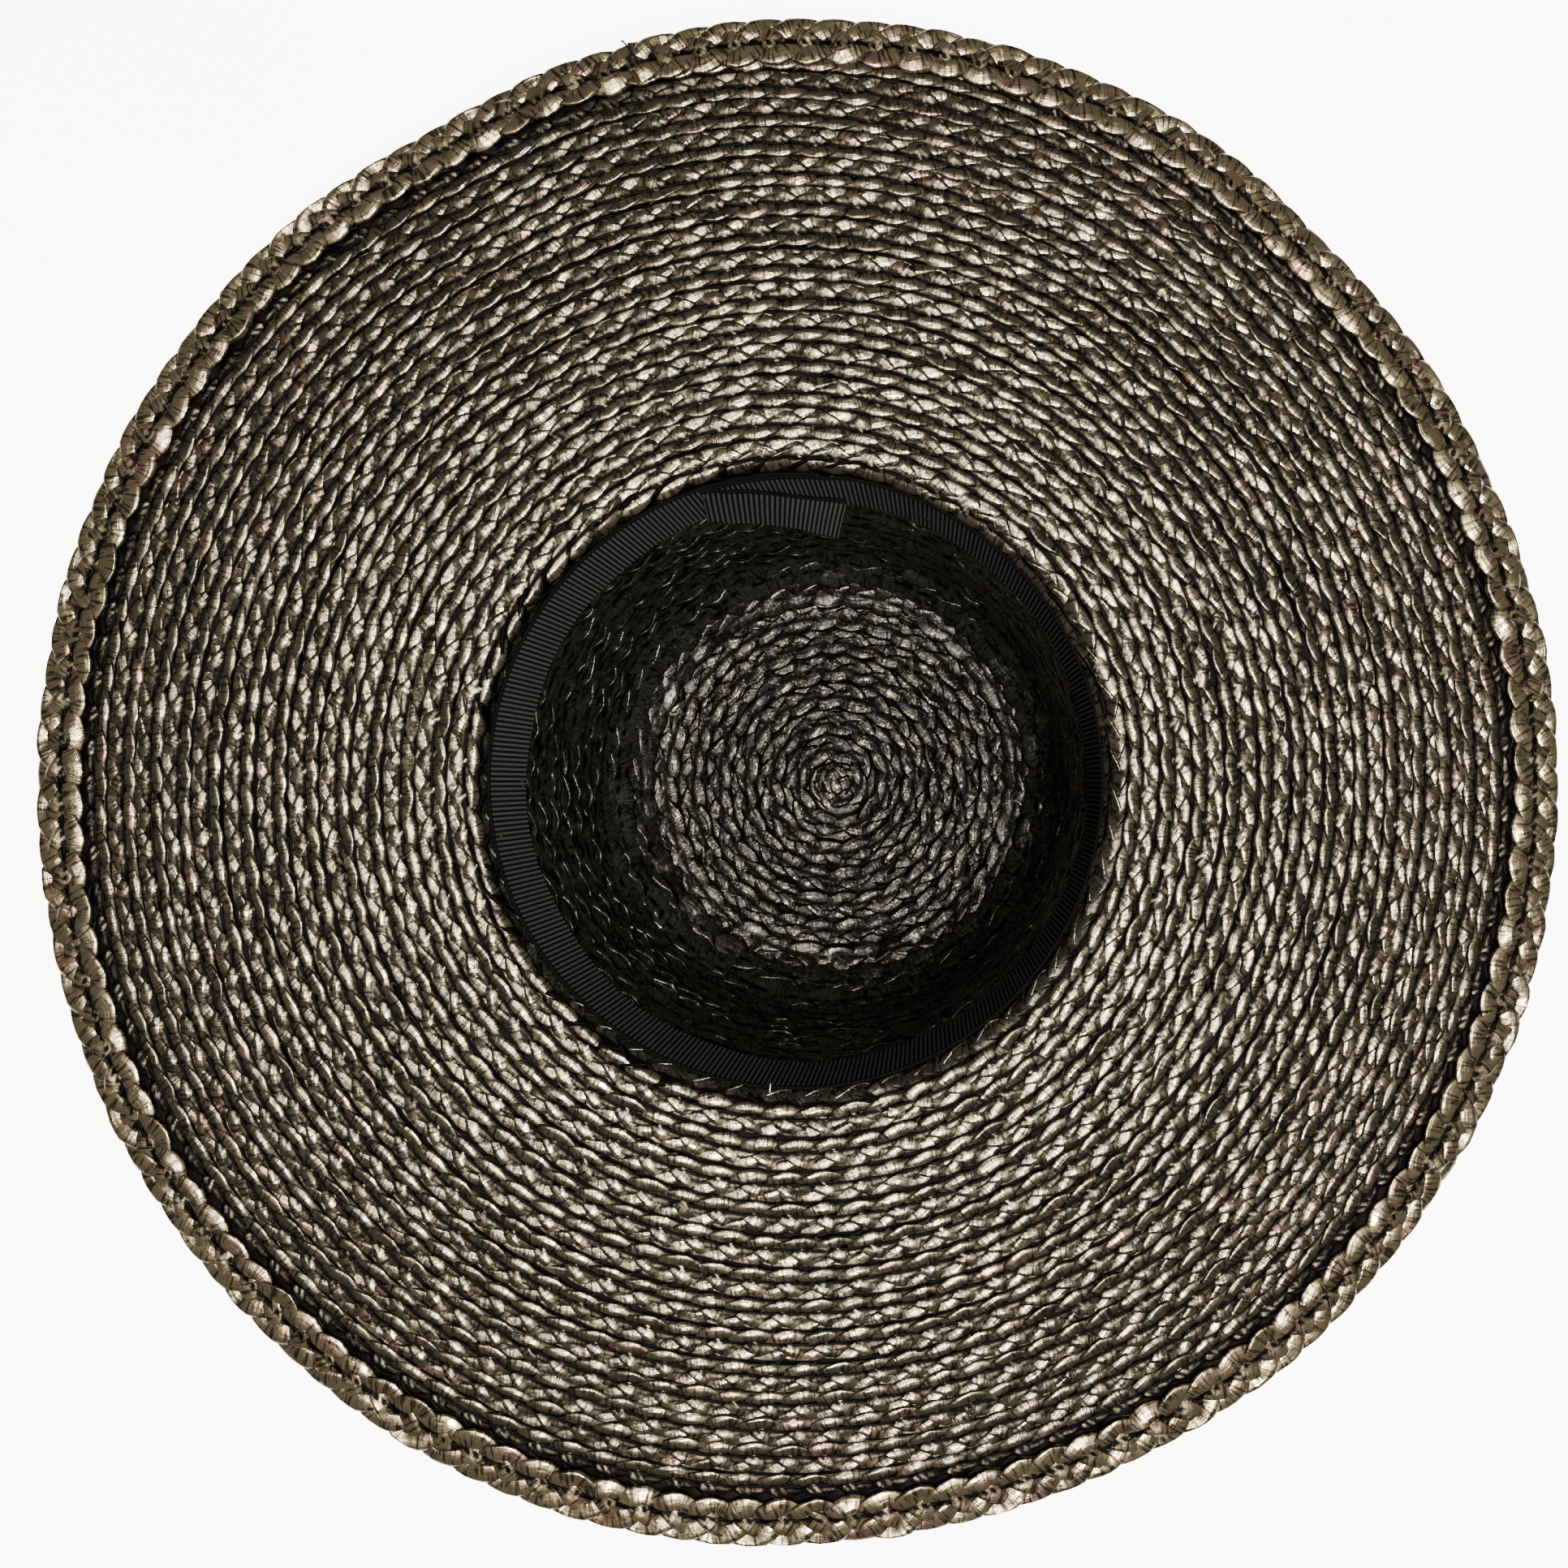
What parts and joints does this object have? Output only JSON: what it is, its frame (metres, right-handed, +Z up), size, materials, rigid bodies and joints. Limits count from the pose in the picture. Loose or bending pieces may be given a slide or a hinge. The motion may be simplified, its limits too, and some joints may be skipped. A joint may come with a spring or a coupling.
{
  "type": "floppy hat",
  "caption": "Wide-brimmed floppy hat sewn from a spiral of paper braid, with a ribbon sweatband, lying upside down on its crown",
  "frame": {"origin": "on the ground under the middle of the brim, level with the flat of the crown's tip that the hat rests on", "axes": "+Z up, from the crown's tip towards the head opening, because the hat lies upside down; +X the way the crown's tip leans, and the right of the picture; +Y the top of the picture"},
  "size_m": [0.4521, 0.4506, 0.112],
  "materials": {
    "crown": "glossy plaited paper, dark bronze brown",
    "brim": "glossy plaited paper, dark bronze brown with pale sheen",
    "edge_braid": "glossy plaited paper, dark bronze brown",
    "sweatband": "matt ribbed black ribbon"
  },
  "bodies": {
    "root": {"crown": "crown", "brim": "brim", "edge_braid": "edge_braid", "sweatband": "sweatband"}
  },
  "joints": []
}
